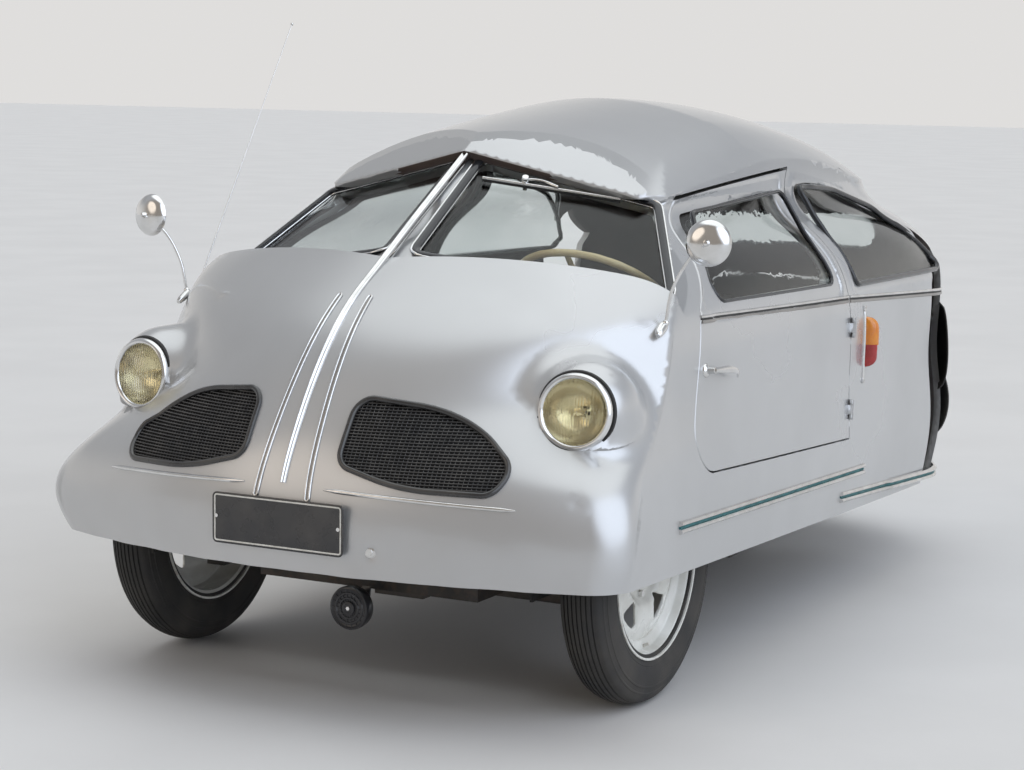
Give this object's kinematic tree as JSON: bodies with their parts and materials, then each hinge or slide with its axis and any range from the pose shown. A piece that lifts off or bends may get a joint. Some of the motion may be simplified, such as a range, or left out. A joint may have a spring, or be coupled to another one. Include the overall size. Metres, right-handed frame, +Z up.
{
  "type": "three-wheeled car",
  "caption": "Rounded three-wheeled car with rolling front wheels, a steered and driven rear wheel, rear-hinged doors, split windscreen and hollow cabin.",
  "frame": {"origin": "bottom centre of the whole car, on the ground midway between the nose's plate and the tail", "axes": "+X the car's left, -Y the front, +Z up"},
  "size_m": [1.7018, 3.2011, 1.617],
  "materials": {
    "silver_paint": "glossy metallic silver",
    "pane_glass": "clear",
    "bright_metal": "polished",
    "grille_black": "satin black",
    "plate_black": "gloss black, blank",
    "lamp_amber": "translucent amber and red",
    "scoop_black": "satin",
    "chassis_black": "satin black with dust",
    "cabin_dark": "matt dark brown",
    "seat_vinyl": "dark maroon leathercloth",
    "wheel_white": "gloss white",
    "tyre_black": "ribbed rubber",
    "steering_cream": "cream",
    "engine_grey": "oily cast metal"
  },
  "bodies": {
    "body": {"nose_panel": "silver_paint", "windscreen_frame": "silver_paint", "roof": "silver_paint", "left_quarter_panel": "silver_paint", "right_quarter_panel": "silver_paint", "tail_panel": "silver_paint", "sills": "silver_paint", "floor_pan": "cabin_dark", "dashboard": "cabin_dark", "roof_hoop": "cabin_dark", "windscreen_panes": "pane_glass", "quarter_windows": "pane_glass", "rear_window": "pane_glass", "front_grilles": "grille_black", "nose_trim": "bright_metal", "headlamps": "bright_metal", "number_plate": "plate_black", "horn": "chassis_black", "side_lamps": "lamp_amber", "rear_scoops": "scoop_black", "mirrors": "bright_metal", "antenna": "bright_metal", "seat_cushion": "seat_vinyl", "seat_backrest": "seat_vinyl", "steering_column": "cabin_dark", "chassis_frame": "chassis_black", "front_axle": "chassis_black", "stub_axles": "chassis_black"},
    "left_door": {"left_door": "silver_paint", "left_door_window": "pane_glass", "left_door_handle": "bright_metal"},
    "right_door": {"right_door": "silver_paint", "right_door_window": "pane_glass", "right_door_handle": "bright_metal"},
    "engine_lid": {"engine_lid": "silver_paint"},
    "steering_wheel": {"steering_wheel": "steering_cream"},
    "front_left_wheel": {"front_left_rim": "wheel_white", "front_left_tyre": "tyre_black"},
    "front_right_wheel": {"front_right_rim": "wheel_white", "front_right_tyre": "tyre_black"},
    "rear_unit": {"rear_cradle": "chassis_black", "engine_block": "engine_grey"},
    "rear_wheel": {"rear_rim": "wheel_white", "rear_tyre": "tyre_black"}
  },
  "joints": [
    {"name": "left_door_hinge", "type": "hinge", "parent": "body", "child": "left_door", "pos_m": [0.724, 0.1975, 0.7], "axis": [0, 0, 1], "range_deg": [0, 65]},
    {"name": "right_door_hinge", "type": "hinge", "parent": "body", "child": "right_door", "pos_m": [-0.724, 0.1975, 0.7], "axis": [0, 0, -1], "range_deg": [0, 65]},
    {"name": "engine_lid_hinge", "type": "hinge", "parent": "body", "child": "engine_lid", "pos_m": [0, 1.573, 0.8025], "axis": [1, 0, 0], "range_deg": [0, 70]},
    {"name": "rear_steer", "type": "hinge", "parent": "body", "child": "rear_unit", "pos_m": [0, 0.615, 0.6], "axis": [0, 0, 1], "range_deg": [-24, 24]},
    {"name": "steering_wheel_turn", "type": "hinge", "parent": "body", "child": "steering_wheel", "pos_m": [0.33, -0.645, 0.935], "axis": [0, 0.5736, 0.8192], "range_deg": [-384, 384]},
    {"name": "front_left_spin", "type": "hinge", "parent": "body", "child": "front_left_wheel", "pos_m": [0.635, -1.005, 0.33], "axis": [1, 0, 0], "continuous": true},
    {"name": "front_right_spin", "type": "hinge", "parent": "body", "child": "front_right_wheel", "pos_m": [-0.635, -1.005, 0.33], "axis": [1, 0, 0], "continuous": true},
    {"name": "rear_spin", "type": "hinge", "parent": "rear_unit", "child": "rear_wheel", "pos_m": [0, 0.955, 0.33], "axis": [1, 0, 0], "continuous": true}
  ],
  "couplings": [
    {"joint": "steering_wheel_turn", "follows": "rear_steer", "ratio": -16}
  ]
}
